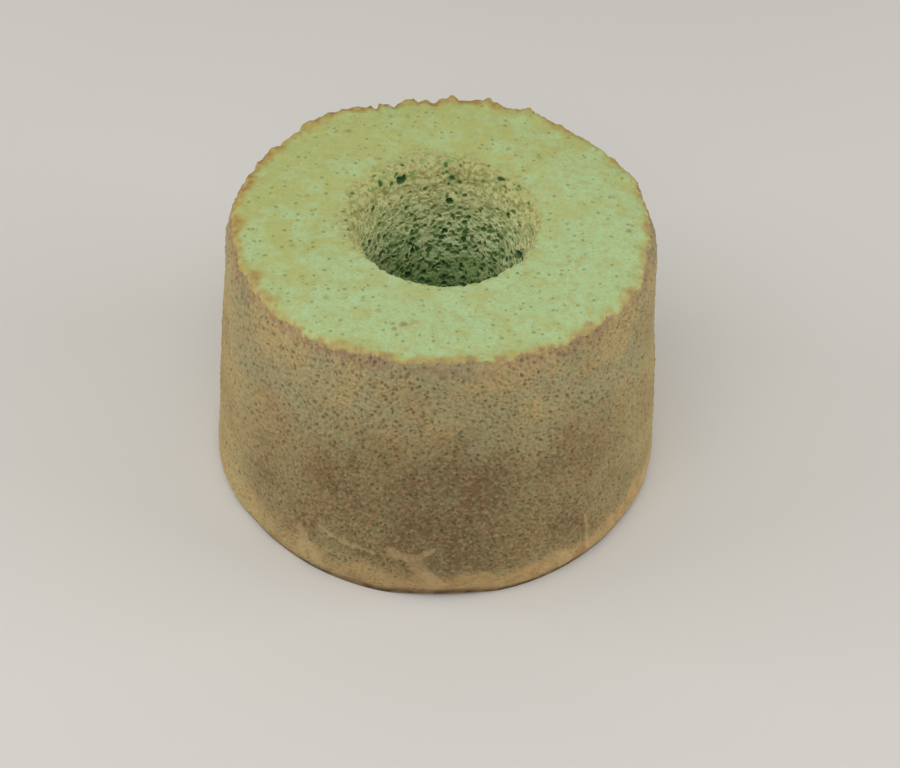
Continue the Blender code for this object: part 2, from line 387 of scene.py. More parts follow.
def wall_radius(sizes, z):
    """Outer radius of the wall at a height, before the rim and foot are rounded."""
    share = z / sizes.height
    straight = sizes.base_diameter / 2 + (sizes.top_diameter - sizes.base_diameter) / 2 * share
    swelling = WALL_SWELL * np.sin(math.pi * np.clip(share, 0.0, 1.0))
    return straight + swelling + FOOT_FLARE * np.exp(-((z / FOOT_FLARE_HEIGHT) ** 2))


def tunnel_radius(sizes, z):
    """Radius of the tunnel's wall at a height, with its foot opened out a little."""
    share = z / (sizes.height - MOUTH_DEPTH)
    straight = sizes.tunnel_foot / 2 + (sizes.tunnel_top - sizes.tunnel_foot) / 2 * share
    return straight + TUNNEL_FLARE * np.exp(-((z / FOOT_UP) ** 2))


def corner(centre, across, along, first, last):
    """Points of an elliptical corner, from one angle to another in degrees."""
    angles = np.radians(np.linspace(first, last, OUTLINE_STEPS))
    return np.column_stack([centre[0] + across * np.cos(angles), centre[1] + along * np.sin(angles)])


def outline_of(sizes):
    """The cut through the ring as one closed walk: rim, wall, foot, base, tunnel, mouth and top.

    The mark of a stretch is how far along the walk it starts.
    """
    rim_z = sizes.height - TOP_CROWN - RIM_DOWN
    rim_x = wall_radius(sizes, rim_z) - RIM_ACROSS
    foot_x = wall_radius(sizes, FOOT_UP) - FOOT_ACROSS
    mouth_x = sizes.mouth_diameter / 2
    mouth_z = sizes.height - TOP_CROWN - MOUTH_DEPTH
    wall_z = np.linspace(rim_z, FOOT_UP, OUTLINE_STEPS)
    base_x = np.linspace(foot_x, tunnel_radius(sizes, 0.0), OUTLINE_STEPS)
    tunnel_z = np.linspace(0.0, mouth_z, OUTLINE_STEPS)
    top_share = np.linspace(0.0, 1.0, OUTLINE_STEPS)
    top_z = sizes.height - TOP_CROWN + TOP_CROWN * np.sin(math.pi * top_share)
    stretches = {
        "rim": corner((rim_x, rim_z), RIM_ACROSS, RIM_DOWN, 90, 0),
        "wall": np.column_stack([wall_radius(sizes, wall_z), wall_z]),
        "foot": corner((foot_x, FOOT_UP), FOOT_ACROSS, FOOT_UP, 0, -90),
        "base": np.column_stack([base_x, 0.0 * base_x]),
        "tunnel": np.column_stack([tunnel_radius(sizes, tunnel_z), tunnel_z]),
        "mouth": corner((mouth_x, mouth_z), mouth_x - tunnel_radius(sizes, mouth_z), MOUTH_DEPTH, 180, 90),
        "top": np.column_stack([mouth_x + (rim_x - mouth_x) * top_share, top_z]),
    }
    points = np.vstack([stretch[:-1] for stretch in stretches.values()] + [stretches["rim"][:1]])
    steps = np.linalg.norm(np.diff(points, axis=0), axis=1)
    length = np.concatenate([[0.0], np.cumsum(steps)])
    starts = np.arange(len(stretches)) * (OUTLINE_STEPS - 1)
    marks = {name: length[start] for name, start in zip(stretches, starts)}
    along = np.gradient(points, length, axis=0)
    along /= np.linalg.norm(along, axis=1)[:, None]
    return {"length": length, "points": points, "along": along, "marks": marks, "total": length[-1]}


def place_on(outline, lengths, turns):
    """Places and outward directions on the plain turned ring."""
    at = np.mod(lengths, outline["total"])
    radius, height = (np.interp(at, outline["length"], outline["points"][:, axis]) for axis in (0, 1))
    along = [np.interp(at, outline["length"], outline["along"][:, axis]) for axis in (0, 1)]
    sine, cosine = np.sin(turns), np.cos(turns)
    places = np.stack([radius * sine, -radius * cosine, height], axis=-1)
    outward = np.stack([-along[1] * sine, along[1] * cosine, along[0]], axis=-1)
    return places, outward


def degrees_round(places):
    """How far round the ring each place is, from the front towards the right, in -180 to 180."""
    return np.degrees(np.arctan2(places[..., 0], -places[..., 1]))


def turn_between(first, second):
    """The signed angle from the second to the first, in degrees."""
    return (first - second + 180.0) % 360.0 - 180.0


def flat_places(places):
    """The places let down on to the floor."""
    return places * np.array((1.0, 1.0, 0.0))


def fold_relief(sizes, places):
    """How far the folds of the foot's skin lift each place, and how much of it is loose skin."""
    arc = math.radians(1.0) * sizes.base_diameter / 2
    astray = swells_of(places, FOLD_TURNS)
    thicker = swell(places, FOLD_THICKNESS)
    lift = np.zeros(places.shape[:-1])
    loose = np.zeros(places.shape[:-1])
    for start_turn, end_turn, start_z, end_z, half_width, depth in FOLDS:
        here_x = turn_between(degrees_round(places), start_turn) * arc
        here_z = places[..., 2] - start_z + astray
        along_x, along_z = (end_turn - start_turn) * arc, end_z - start_z
        share = np.clip((here_x * along_x + here_z * along_z) / (along_x**2 + along_z**2), 0.0, 1.0)
        off = np.hypot(here_x - along_x * share, here_z - along_z * share) + thicker * half_width / MM / 2
        inside = 1.0 - ease(half_width - FOLD_EDGE, half_width + FOLD_EDGE, off)
        lift = np.where(depth > 0, np.maximum(lift, depth * inside), np.minimum(lift, depth * inside))
        loose = np.maximum(loose, inside * (depth > 0))
    return lift * ease(0.0, FOOT_UP, places[..., 2]), loose


def foot_tuck(places):
    """How far the foot draws in at each place of the wall."""
    middle, half_width, depth, height = FOOT_TUCK
    off = turn_between(degrees_round(places), middle) / half_width
    return depth * np.exp(-(off**4)) * (1.0 - ease(0.0, height, places[..., 2]))


def curled(places):
    """1 where the foot's edge curls up, and 0 all round from there."""
    middle, half_width = FOOT_CURL[:2]
    off = turn_between(degrees_round(places), middle) / half_width
    return np.exp(-(off**4))


def foot_curl(sizes, places):
    """How high the foot's edge curls up at each place."""
    height, reach, fade = FOOT_CURL[2:]
    edge = sizes.base_diameter / 2 - FOOT_ACROSS
    near = ease(edge - reach, edge, np.hypot(places[..., 0], places[..., 1]))
    return height * curled(places) * near * (1.0 - ease(0.0, fade, places[..., 2]))


def rim_relief(sizes, places):
    """Crags and torn flakes along the outer rim."""
    radius = np.hypot(places[..., 0], places[..., 1])
    away = np.hypot(
        radius - (sizes.top_diameter / 2 - RIM_ACROSS / 2), places[..., 2] - (sizes.height - RIM_DOWN / 4)
    )
    back = 0.5 - 0.5 * np.cos(np.radians(degrees_round(places)))
    crumbs = swell(places, RIM_CRUMBS) + 0.4 * swell(places, RIM_CRUMBS, 0.45)
    lift = swell(places, CRAGS) + (0.3 + 0.7 * back) * crumbs
    for middle, half_width, height in RIM_FLAKES + RIM_BITS:
        off = turn_between(degrees_round(places), middle) / half_width
        lift += height * np.exp(-(off**4))
    return lift * np.exp(-((away / CRAG_REACH) ** 2))


def form(sizes, places, outward, lift):
    """Moves places out by the crust's broad swells and a finer lift, and keeps the base flat."""
    lift = lift + swell(places, LUMPS) + swell(places, RIPPLES)
    radius = np.hypot(places[..., 0], places[..., 1])
    inner = sizes.mouth_diameter / 2
    outer = sizes.top_diameter / 2 - RIM_ACROSS
    lean = (1.0 - ease(inner, outer, radius)) * places[..., 2] / sizes.height
    moved = places + outward * lift[..., None]
    moved[..., 0] += TUNNEL_LEAN[0] * lean
    moved[..., 1] += TUNNEL_LEAN[1] * lean
    settled = ease(0.0, FOOT_UP, places[..., 2])
    moved[..., 2] = places[..., 2] + (moved[..., 2] - places[..., 2]) * settled + foot_curl(sizes, places)
    return moved


def turns_round(columns, crowded_at):
    """The angle of each column, closest together at an angle in degrees from the front."""
    even = np.arange(columns) * math.tau / columns
    return math.radians(crowded_at) + even - CROWDING * np.sin(even)


def grid_of(lengths, turns):
    """Lengths of the rows and turns of the columns, each as a whole grid."""
    rows = len(lengths)
    lengths = np.broadcast_to(lengths.reshape(rows, -1), (rows, len(turns)))
    return lengths, np.broadcast_to(turns, (rows, len(turns)))


def surface_normals(places):
    """Outward directions of a grid of places that closes round the ring."""
    down = np.gradient(places, axis=0)
    across = np.roll(places, -1, axis=1) - np.roll(places, 1, axis=1)
    normals = np.cross(down, across)
    return normals / np.linalg.norm(normals, axis=-1)[..., None]


def ring_piece(name, places, normals, turns, hidden, marks, material):
    """One closed piece: a grid that shows, closed through hidden rings given as radius and height."""
    columns = len(turns)
    sine, cosine = np.sin(turns), np.cos(turns)
    rings = [np.column_stack([r * sine, -r * cosine, np.full(columns, z)]) for r, z in hidden]
    everything = np.concatenate([places, np.array(rings)], axis=0)
    rows = len(everything)
    row, column = np.meshgrid(np.arange(rows), np.arange(columns), indexing="ij")
    here, below = row * columns, (row + 1) % rows * columns
    right = (column + 1) % columns
    faces = np.stack([here + column, below + column, below + right, here + right], axis=-1)
    mesh = bpy.data.meshes.new(name)
    mesh.from_pydata(everything.reshape(-1, 3).tolist(), [], faces.reshape(-1, 4).tolist())
    u = np.stack([column, column, column + 1, column + 1], axis=-1) / columns
    v = np.stack([row, row + 1, row + 1, row], axis=-1) / rows
    unwrapped = np.stack([u, v], axis=-1).astype(np.float32)
    mesh.uv_layers.new(name="OFBake").data.foreach_set("uv", unwrapped.ravel())
    for mark, values in marks.items():
        padded = np.zeros((rows, columns), np.float32)
        padded[: len(places)] = values
        mesh.attributes.new(mark, "FLOAT", "POINT").data.foreach_set("value", padded.ravel())
    mesh.shade_smooth()
    facing = np.zeros((rows, columns, 3))
    facing[: len(places)] = normals
    mesh.normals_split_custom_set_from_vertices(facing.reshape(-1, 3).tolist())
    mesh.materials.append(material)
    piece = bpy.data.objects.new(name, mesh)
    bpy.context.scene.collection.objects.link(piece)
    return piece


def attach(piece):
    """The piece stands for the solid cake and moves with it."""
    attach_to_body(piece, BODY)
    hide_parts(CAKE_NODE)


def rows_between(start, end, pitch):
    """Lengths from start to end, about a pitch apart."""
    return np.linspace(start, end, max(2, round((end - start) / pitch) + 1))


def build_wall(sizes, material):
    """The outer wall, its foot and the flat base, as three rings of crumb one over the other."""
    outline = outline_of(sizes)
    marks = outline["marks"]
    shown = rows_between(-UNDER_SKIN, marks["base"], WALL_PITCH)
    base = marks["base"] + (marks["tunnel"] - marks["base"]) * np.linspace(0.0, 1.0, BASE_ROWS)[1:] ** 2
    foot = marks["tunnel"] + np.array((1.0, 2.0, 3.0)) * TUNNEL_FOOT_HEIGHT / 3
    turn_row = turns_round(WALL_COLUMNS, 0.0)
    lengths, turns = grid_of(np.concatenate([shown, base, foot]), turn_row)
    places, outward = place_on(outline, lengths, turns)
    z = places[..., 2]

    edge = BAND_HEIGHT + swell(flat_places(places), BAND_RAGGED)
    edge += 0.25 * swell(places, BAND_RAGGED, 0.3) + 0.15 * swell(places, BAND_RAGGED, 0.12)
    skin = 1.0 - ease(edge - BAND_SOFTNESS, edge + BAND_SOFTNESS, z)
    faintest, gain = BAND_STRENGTH
    skin *= faintest + gain * ease(*BAND_RISE, degrees_round(places))
    folds, loose = fold_relief(sizes, places)
    open_crumb = (1.0 - np.maximum(0.5 * skin, 0.7 * loose)) * ease(0.0, 3.0 * MM, z)
    depth = wall_pores(sizes, places) * open_crumb
    grain = swell(places, WALL_GRAIN) + 0.6 * swell(places, WALL_FINE_GRAIN)
    hollow = ease(-0.8, 0.8, grain) * open_crumb
    on_wall = 1.0 - ease(sizes.height - 2 * RIM_DOWN, sizes.height, z)
    lift = on_wall * (SKIN_STEP * (skin - 0.5) + folds) - foot_tuck(places)
    lift += rim_relief(sizes, places) - 0.75 * depth - GRAIN_DEPTH * hollow
    lift += open_crumb * swell(places, WALL_SWELLS)
    lift -= SKIN_DIP * (1.0 - ease(-UNDER_SKIN, -1.5 * MM, lengths))
    moved = form(sizes, places, outward, lift)
    normals = surface_normals(moved)
    shades = {
        # The pore mark follows the depth of pores, pressed-in creases and grain hollows; the materials
        # paint shade by it.
        "pore": np.clip(np.maximum(0.8 * depth, -folds) / (0.7 * MM) + 0.8 * hollow - 0.2, 0.0, 1.0),
        "skin": skin,
        "loose": loose,
        # Painted shade under the foot's edge, reaching higher where the edge curls up.
        "under": 1.0 - ease(UNDER_SHADE_REACH[0], UNDER_SHADE_REACH[1] + UNDER_SHADE_CURL * curled(places), z),
        "rim": 1.0 - ease(2.0 * MM, 8.0 * MM, sizes.height - z),
    }

    rows = len(shown)
    upper, lower = (rows * cut // 100 for cut in WALL_CUTS)
    upper_z, lower_z = float(places[upper, 0, 2]), float(places[lower, 0, 2])
    cap_z = sizes.height - CAP_THICKNESS
    for name, part, hidden in (
        ("crumb_wall_upper", slice(0, upper + 1), [(INNER_RADIUS, upper_z), (INNER_RADIUS, cap_z)]),
        ("crumb_wall_middle", slice(upper, lower + 1), [(INNER_RADIUS, lower_z), (INNER_RADIUS, upper_z)]),
        ("crumb_wall_foot", slice(lower, None), [FOOT_RING, (INNER_RADIUS, lower_z)]),
    ):
        part_shades = {mark: values[part] for mark, values in shades.items()}
        attach(ring_piece(name, moved[part], normals[part], turn_row, hidden, part_shades, material))


def spot_mark(places):
    """1 in the browned spots of the skin, and 0 away from them."""
    mark = np.zeros(places.shape[:-1])
    ragged = swell(places, SPOT_EDGE)
    for x, y, radius in SPOTS:
        away = np.hypot(places[..., 0] - x, places[..., 1] - y) + ragged
        mark = np.maximum(mark, 1.0 - ease(0.4 * radius, 1.3 * radius, away))
    return mark


def crumb_share(outline, lengths, turns, places):
    """0 on whole skin and 1 on torn crumb, across the mouth; the skin ends softly at the back."""
    back = 0.5 - 0.5 * np.cos(turns - math.radians(20.0))
    reach, width = ((front + more * back) * MM for front, more in (TORN_REACH, TORN_SOFTNESS))
    edge = outline["marks"]["mouth"] + reach
    at = lengths + swells_of(places, TORN_EDGE)
    return 1.0 - ease(edge - width / 2, edge + width / 2, at)


def torn_crumb(sizes, places, share):
    """Lift of torn crumb, webs between bubbles as far as the skin is gone, and the painted shade of its
    pores and cells.
    """
    down = 1.0 - ease(*TORN_DEEPER, places[..., 2])
    uneven = places + swell(places, BUBBLES_ASTRAY)[..., None] * np.array((0.6, -0.5, 0.6))
    large = pits(uneven, LARGE_BUBBLES, sizes.tunnel_pore, 0.5 * share)
    middle = pits(uneven, MIDDLE_BUBBLES, 0.7 * sizes.tunnel_pore, (0.75 + 0.15 * down) * share)
    ragged = swell(places, HOLE_EDGE)
    for turn, reach, height, radius in TORN_HOLES:
        centre = (reach * math.sin(math.radians(turn)), -reach * math.cos(math.radians(turn)), height)
        away = np.linalg.norm(places - np.array(centre), axis=-1) + ragged
        large = np.maximum(large, np.sqrt(np.maximum(radius**2 - away**2, 0.0)))
    cells = foam(uneven, *SMALL_CELLS) * share * (0.15 + 0.85 * down)
    lift = share * swell(places, TUNNEL_ROUGH) - 1.1 * np.maximum(large, middle) - 0.7 * MM * cells
    # How much painted shade the pores and foam cells get, by how deep they are.
    dark = np.maximum(np.clip(np.maximum(large, 0.8 * middle) / (0.6 * MM), 0.0, 1.7), cells)
    return lift, dark


def build_top(sizes, material):
    """The skin on top, from inside the tunnel's mouth over the top to its torn edge at the rim."""
    outline = outline_of(sizes)
    marks = outline["marks"]
    turn_row = turns_round(TOP_COLUMNS, 0.0)
    around = np.stack([np.sin(turn_row), -np.cos(turn_row), 0.0 * turn_row], axis=-1)
    browner = ease(0.35, 0.9, 0.5 - 0.5 * np.cos(turn_row - math.radians(40.0)))
    torn = swells_of(around * sizes.top_diameter / 2, SKIN_EDGE)
    turn_marks, reaches = zip(*SKIN_REACH)
    reach = np.interp(turn_between(np.degrees(turn_row), 0.0), turn_marks, reaches)
    rim_edge = outline["total"] + reach + torn
    start = marks["mouth"] - CAP_IN_TUNNEL
    at_mouth = rows_between(start, marks["top"], MOUTH_PITCH)
    rows = round((outline["total"] - marks["top"]) / TOP_PITCH)
    on_top = np.linspace(0.0, 1.0, rows)[1:, None]
    lengths = np.concatenate([
        np.broadcast_to(at_mouth[:, None], (len(at_mouth), TOP_COLUMNS)),
        marks["top"] + (rim_edge - marks["top"]) * on_top,
    ])
    lengths, turns = grid_of(lengths, turn_row)
    places, outward = place_on(outline, lengths, turns)

    share = crumb_share(outline, lengths, turns, places)
    crumb_lift, crumb_shade = torn_crumb(sizes, places, share)
    from_edge = rim_edge - lengths
    burnt = from_edge + swells_of(places, BROWNED_EDGE)
    near_edge = 1.0 - ease(0.5 * MM, RIM_PORES_FROM, from_edge)
    holes = pits(places, PINHOLES, PINHOLE_RADIUS, share=0.5) * (1.0 - share)
    holes = np.maximum(holes, wall_pores(sizes, places) * near_edge)
    thickness = sizes.skin_thickness * ease(start + 4 * MM, marks["top"], lengths)
    thickness -= (thickness + SKIN_DIP) * (1.0 - ease(0.0, SKIN_THINS_FROM, from_edge))
    soft = swells_of(places, SKIN_SWELLS) * (1.0 - share)
    at_lip = np.exp(-(((lengths - marks["mouth"] - LIP_MIDDLE) / LIP_MIDDLE) ** 2))
    torn_lip = at_lip * swells_of(places, LIP_SWELLS)
    lift = thickness + crumb_lift + soft + torn_lip - 0.8 * holes
    lift += rim_relief(sizes, places) * ease(marks["top"], marks["top"] + 10 * MM, lengths)
    moved = form(sizes, places, outward, lift)
    normals = surface_normals(moved)
    dropped = moved[-1] - normals[-1] * (sizes.skin_thickness + 0.5 * MM)
    shades = {
        # The pore mark paints shade into the torn crumb's pores and the skin's pits.
        "pore": np.maximum(crumb_shade, np.clip(holes / (0.5 * MM), 0.0, 1.0)),
        "crumb": share,
        "rim": 1.0 - ease((0.3 + 2.7 * browner) * MM, (7.0 + 1.6 * browner) * MM, burnt),
        "spot": spot_mark(places),
    }
    shades = {mark: np.concatenate([values, values[-1:]]) for mark, values in shades.items()}
    moved = np.concatenate([moved, dropped[None]])
    normals = np.concatenate([normals, normals[-1:]])
    cap_z = sizes.height - CAP_THICKNESS
    start_z = float(places[0, 0, 2])
    hidden = [(CAP_RADIUS, cap_z), (INNER_RADIUS, cap_z), (INNER_RADIUS, start_z)]
    attach(ring_piece("top_skin", moved, normals, turn_row, hidden, shades, material))


def build_tunnel(sizes, material):
    """The torn wall of the tunnel, from its foot up to under the top's cap."""
    outline = outline_of(sizes)
    marks = outline["marks"]
    end = marks["mouth"] - CAP_IN_TUNNEL + TUNNEL_OVERLAP
    middle = marks["tunnel"] + TUNNEL_COARSE_BELOW
    low = rows_between(marks["tunnel"] + TUNNEL_FOOT_HEIGHT, middle, 1.5 * TUNNEL_PITCH)
    high = rows_between(middle, end, TUNNEL_PITCH)
    turn_row = turns_round(TUNNEL_COLUMNS, 180.0)
    lengths, turns = grid_of(np.concatenate([low, high[1:]]), turn_row)
    places, outward = place_on(outline, lengths, turns)
    lift, dark = torn_crumb(sizes, places, np.ones(turns.shape))
    lift = lift - TUNNEL_SUNK * ease(end - TUNNEL_OVERLAP, end, lengths)
    moved = form(sizes, places, outward, lift)
    # The pore mark paints shade into the tunnel's pores.
    shades = {"pore": dark, "crumb": np.ones(turns.shape), "spot": np.zeros(turns.shape)}
    end_z = float(places[-1, 0, 2])
    hidden = [(INNER_RADIUS, end_z), TUNNEL_RING, FOOT_RING]
    attach(ring_piece("tunnel_crumb", moved, surface_normals(moved), turn_row, hidden, shades, material))


# Directions in which the finish changes, towards the back and the back left, and the depth of its bumps.
BACK = (0.05, 1.0, 0.0)
BACK_LEFT = (-0.5, 0.87, 0.0)
BUMP_DEPTH = 0.3 * MM


def feed(tree, socket, value):
    """Sets a socket to a value, or links it to another node's output."""
    if isinstance(value, bpy.types.NodeSocket):
        tree.links.new(value, socket)
    elif hasattr(value, "__len__") and len(value) == 3 and socket.type == "RGBA":
        socket.default_value = (*value, 1.0)
    else:
        socket.default_value = value


def add_node(tree, kind, settings=None, **inputs):
    """A shader node with its settings and its inputs, named with _ for a space."""
    made = tree.nodes.new("ShaderNode" + kind)
    for name, value in (settings or {}).items():
        setattr(made, name, value)
    for name, value in inputs.items():
        feed(tree, made.inputs[name.replace("_", " ")], value)
    return made


def blend(tree, factor, first, second):
    """Mixes two colours by a factor."""
    mix = add_node(tree, "Mix", {"data_type": "RGBA"})
    feed(tree, mix.inputs[0], factor)
    feed(tree, mix.inputs[6], first)
    feed(tree, mix.inputs[7], second)
    return mix.outputs[2]


def layered(tree, colour, *layers):
    """A colour with layers over it, each given as how much it covers and its own colour."""
    for cover, tint in layers:
        colour = blend(tree, cover, colour, tint)
    return colour


def step(tree, value, low, high, to_low=0.0, to_high=1.0):
    """A smooth step of a value, between two outputs."""
    settings = {"interpolation_type": "SMOOTHSTEP"}
    ranges = {"From_Min": low, "From_Max": high, "To_Min": to_low, "To_Max": to_high}
    return add_node(tree, "MapRange", settings, Value=value, **ranges).outputs["Result"]


def join(tree, way, first, second):
    """Joins two numbers in one of the ways of Blender's math node."""
    made = add_node(tree, "Math", {"operation": way})
    feed(tree, made.inputs[0], first)
    feed(tree, made.inputs[1], second)
    return made.outputs[0]


def total(tree, first, second):
    """Two numbers added."""
    return join(tree, "ADD", first, second)


def product(tree, first, second):
    """Two numbers multiplied."""
    return join(tree, "MULTIPLY", first, second)


def larger(tree, first, second):
    """The larger of two numbers."""
    return join(tree, "MAXIMUM", first, second)


def mottle(tree, where, size, detail=2.0, shift=0.0):
    """Noise whose swells are a size apart, in metres."""
    moved = add_node(tree, "Mapping", Vector=where, Location=(shift, 2 * shift, -shift)).outputs[0]
    return add_node(tree, "TexNoise", Vector=moved, Scale=1 / size, Detail=detail).outputs["Fac"]


def stirred(tree, where, size, reach):
    """The places moved about a little by noise, so that round marks get uneven edges."""
    swirl = add_node(tree, "TexNoise", Vector=where, Scale=1 / size, Detail=1.0).outputs["Color"]
    centred = add_node(tree, "VectorMath", {"operation": "SUBTRACT"}, Vector=swirl)
    centred.inputs[1].default_value = (0.5, 0.5, 0.5)
    middle = centred.outputs[0]
    scaled = add_node(tree, "VectorMath", {"operation": "SCALE"}, Vector=middle, Scale=2 * reach)
    added = add_node(tree, "VectorMath", {"operation": "ADD"}, Vector=where)
    feed(tree, added.inputs[1], scaled.outputs[0])
    return added.outputs[0]


def specks(tree, where, spacing, radius, share, shift=0.0):
    """Specks of all sizes up to a radius, 1 inside: one in some of the cells, a spacing apart."""
    moved = add_node(tree, "Mapping", Vector=where, Location=(shift, 2 * shift, -shift)).outputs[0]
    cells = add_node(tree, "TexVoronoi", Vector=moved, Scale=1 / spacing)
    draws = add_node(tree, "SeparateColor", Color=cells.outputs["Color"])
    size = step(tree, draws.outputs[1], 0.0, 1.0, 0.4, 1.0)
    ratio = join(tree, "DIVIDE", cells.outputs["Distance"], size)
    near = step(tree, ratio, 0.55 * radius / spacing, 1.15 * radius / spacing, 1.0, 0.0)
    chosen = join(tree, "LESS_THAN", draws.outputs[0], share)
    return product(tree, near, chosen)


def mark_value(tree, name):
    """A mark that the mesh carries at each point."""
    return add_node(tree, "Attribute", {"attribute_name": name}).outputs["Fac"]


def new_material(name, roughness):
    """An empty matt material with its tree, shader and the places on the piece."""
    material = bpy.data.materials.new(name)
    material.use_nodes = True
    tree = material.node_tree
    shader = tree.nodes["Principled BSDF"]
    shader.inputs["Roughness"].default_value = roughness
    shader.inputs["Specular IOR Level"].default_value = 0.25
    where = add_node(tree, "TexCoord").outputs["Object"]
    return material, tree, shader, where


def add_bump(tree, shader, grain, hollow, strength):
    """Bumps the finish by its grain less its hollows."""
    height = join(tree, "SUBTRACT", grain, hollow)
    bump = add_node(tree, "Bump", Strength=strength, Distance=BUMP_DEPTH, Height=height)
    feed(tree, shader.inputs["Normal"], bump.outputs[0])


def distance_along(tree, where, direction):
    """How far each place lies in a direction from the middle."""
    dotted = add_node(tree, "VectorMath", {"operation": "DOT_PRODUCT"}, Vector=where)
    dotted.inputs[1].default_value = direction
    return dotted.outputs["Value"]


def line_strength(tree, where):
    """How strong the purple brown line at the skin's edge is, stretch by stretch round the rim."""
    return step(tree, mottle(tree, where, 8 * MM, 2.0, 1.6), 0.35, 0.6, 0.35, 1.0)


def torn_crumb_look(tree, where, colours):
    """The colour of khaki to green webs, with painted light and painted shade down the tunnel, round pores
    painted with green shade, and how deep the pores are.
    """
    up = add_node(tree, "SeparateXYZ", Vector=where).outputs["Z"]
    deep = step(tree, up, 60 * MM, 86 * MM, 1.0, 0.0)
    brown = step(tree, mottle(tree, where, 1.5 * MM, 3.0, 2.2), 0.46, 0.68, 0.0, 0.65)
    # Soft clouds of painted shade, laid only lower down.
    cloud = step(tree, mottle(tree, where, 4.0 * MM, 2.0, 3.3), 0.42, 0.62, 0.0, 0.6)
    web = layered(
        tree,
        colours.web,
        (step(tree, up, 82 * MM, 90 * MM), colours.web_lip),
        (step(tree, mottle(tree, where, 4 * MM), 0.4, 0.7, 0.0, 0.3), colours.skin_patch),
        # Painted light lower in the tunnel.
        (deep, colours.web_painted_light),
        # Painted shade: the webs turn darker green low in the tunnel, where little light reaches.
        (step(tree, up, 46 * MM, 67 * MM, 0.85, 0.0), colours.web_shade),
        (product(tree, brown, step(tree, deep, 0.0, 0.8, 1.0, 0.0)), colours.web_brown),
        (product(tree, cloud, deep), colours.web_shade),
    )
    fine = step(tree, mottle(tree, where, 1.0 * MM, 2.0, 0.3), 0.5, 0.7, 0.0, 0.5)
    # Dark blots of painted shade, stronger lower down.
    blots = step(tree, mottle(tree, where, 2.0 * MM, 2.0, 4.1), 0.50, 0.66, 0.0, 0.75)
    blots = product(tree, blots, step(tree, deep, 0.0, 1.0, 0.6, 1.0))
    hole_and_shade = larger(tree, mark_value(tree, "pore"), larger(tree, fine, blots))
    colour = layered(
        tree,
        web,
        # Painted shade in the pores, stronger lower down.
        (step(tree, hole_and_shade, 0.1, 0.6, 0.0, 0.75), colours.web_shade),
        (step(tree, hole_and_shade, 0.3, 0.9, 0.0, step(tree, deep, 0.0, 1.0, 0.65, 0.9)), colours.web_pore_shade),
        (step(tree, hole_and_shade, 0.9, 1.7, 0.0, 0.9), colours.web_pore_shade),
    )
    return colour, hole_and_shade


def skin_ground(tree, where, colours):
    """The pale green of the skin with soft olive patches, and how far back and left each place is."""
    yellow = step(tree, distance_along(tree, where, BACK_LEFT), -40 * MM, 55 * MM)
    broad = step(tree, mottle(tree, where, 7 * MM, 2.0, 0.9), 0.3, 0.7, -0.6, 0.6)
    colour = layered(
        tree,
        colours.skin,
        (total(tree, yellow, broad), colours.skin_yellow),
        (step(tree, mottle(tree, where, 2.4 * MM, 2.0, 0.2), 0.42, 0.75, 0.0, 0.6), colours.skin_patch),
        (step(tree, mottle(tree, where, 3.0 * MM, 2.0, 0.7), 0.48, 0.75, 0.0, 0.4), colours.skin_pale),
        (step(tree, mottle(tree, where, 0.9 * MM, 2.0, 0.1), 0.42, 0.72, 0.0, 0.5), colours.skin_patch),
    )
    return colour, yellow


def skin_material(colours):
    """The skin with its pinholes and browned edge, and the torn crumb within."""
    material, tree, shader, where = new_material("top_skin", 0.8)
    ground, yellow = skin_ground(tree, where, colours)
    dots = specks(tree, stirred(tree, where, 0.9 * MM, 0.25 * MM), 2.5 * MM, 0.68 * MM, 0.85)
    faint = specks(tree, stirred(tree, where, 1.2 * MM, 0.5 * MM), 4.5 * MM, 1.1 * MM, 0.6, 0.9)
    ragged = step(tree, mottle(tree, where, 2.2 * MM, 3.0, 0.6), 0.3, 0.7, -0.2, 0.2)
    rim = total(tree, mark_value(tree, "rim"), ragged)
    line = product(tree, step(tree, rim, 0.75, 1.15, 0.0, 0.75), line_strength(tree, where))
    in_front = step(tree, yellow, 0.05, 0.6, 1.0, 0.0)
    dark_edge = step(tree, rim, 0.85, 1.35, 0.0, 0.6)
    torn, hole_and_shade = torn_crumb_look(tree, where, colours)
    crumb = mark_value(tree, "crumb")
    colour = layered(
        tree,
        ground,
        (product(tree, dots, 0.5), colours.skin_speck_and_shade),
        (product(tree, faint, 0.3), colours.web_brown),
        (specks(tree, where, 13 * MM, 0.9 * MM, 0.4, 0.4), colours.rim),
        # Painted shade in the skin's pits.
        (step(tree, mark_value(tree, "pore"), 0.1, 0.9, 0.0, 0.8), colours.skin_speck_and_shade),
        (step(tree, rim, 0.0, 0.8, 0.0, 0.6), colours.skin_patch),
        (step(tree, rim, 0.35, 1.2, 0.0, 0.75), colours.rim),
        (product(tree, step(tree, rim, 0.65, 1.15, 0.0, 0.8), in_front), colours.wall_light),
        (product(tree, line, in_front), colours.rim_line),
        (product(tree, dark_edge, yellow), colours.rim_dark),
        (product(tree, mark_value(tree, "spot"), 0.6), colours.rim_dark),
        (crumb, torn),
    )
    feed(tree, shader.inputs["Base Color"], colour)
    hollow = larger(tree, product(tree, hole_and_shade, crumb), product(tree, dots, 0.5))
    add_bump(tree, shader, mottle(tree, where, 0.9 * MM, 3.0, 0.7), hollow, 0.6)
    return material


